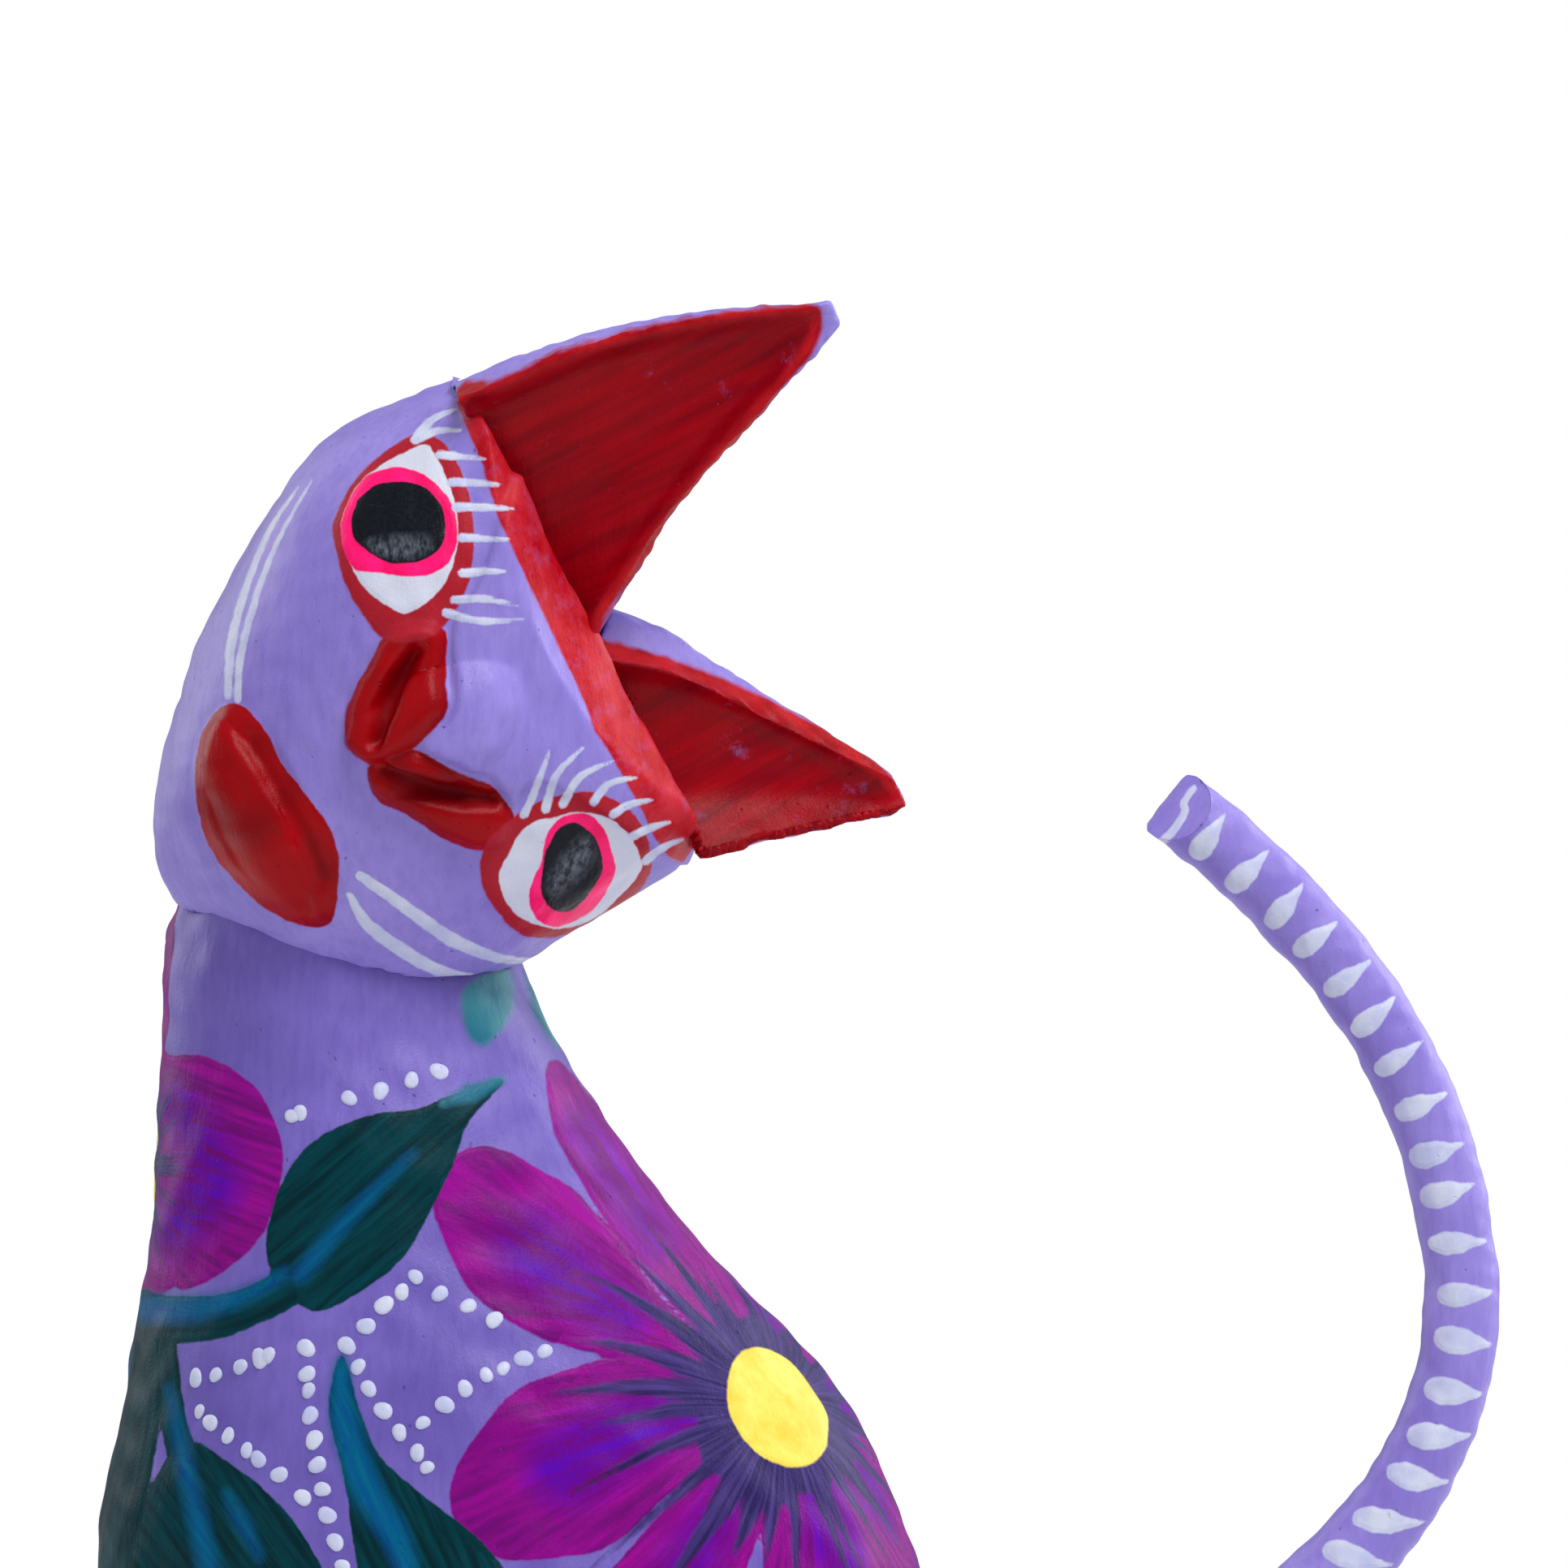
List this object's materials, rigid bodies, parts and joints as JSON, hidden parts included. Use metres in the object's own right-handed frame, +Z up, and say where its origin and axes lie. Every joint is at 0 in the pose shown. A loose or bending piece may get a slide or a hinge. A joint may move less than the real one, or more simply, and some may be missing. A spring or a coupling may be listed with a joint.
{
  "type": "carved cat figurine",
  "caption": "Painted carved wooden cat, seated with its head turned, with pegged ears, nailed-on legs and a plug-in curled tail.",
  "frame": {"origin": "on the flat underside of the torso, in the figure's middle plane", "axes": "+Z up, -X the way the chest faces, -Y the cat's own left, towards which the face is turned"},
  "size_m": [0.1868, 0.084, 0.2455],
  "materials": {
    "painted_lilac": "satin acrylic paint over sanded copal wood",
    "painted_red": "satin acrylic paint over sanded copal wood",
    "bare_wood": "bare whittled pine",
    "nail_steel": "plain wire nail"
  },
  "bodies": {
    "figure": {"torso": "painted_lilac", "head": "painted_lilac", "neck_dowel": "bare_wood", "ear_left": "painted_red", "ear_right": "painted_red", "ear_peg_left": "bare_wood", "ear_peg_right": "bare_wood", "front_leg_left": "painted_lilac", "front_leg_right": "painted_lilac", "hind_leg_left": "painted_lilac", "hind_leg_right": "painted_lilac", "nail_front_left_upper": "nail_steel", "nail_front_left_lower": "nail_steel", "nail_front_right_upper": "nail_steel", "nail_front_right_lower": "nail_steel", "nail_hind_left_upper": "nail_steel", "nail_hind_left_lower": "nail_steel", "nail_hind_right_upper": "nail_steel", "nail_hind_right_lower": "nail_steel"},
    "tail_peg": {"tail_peg": "bare_wood"},
    "tail": {"tail": "painted_lilac"}
  },
  "joints": [
    {"name": "tail_pull", "type": "slide", "parent": "figure", "child": "tail_peg", "axis": [0.7071, 0, 0.7071], "range_m": [0, 0.035]},
    {"name": "tail_turn", "type": "hinge", "parent": "tail_peg", "child": "tail", "pos_m": [0.0528, 0, 0.0436], "axis": [0.7071, 0, 0.7071], "continuous": true}
  ]
}
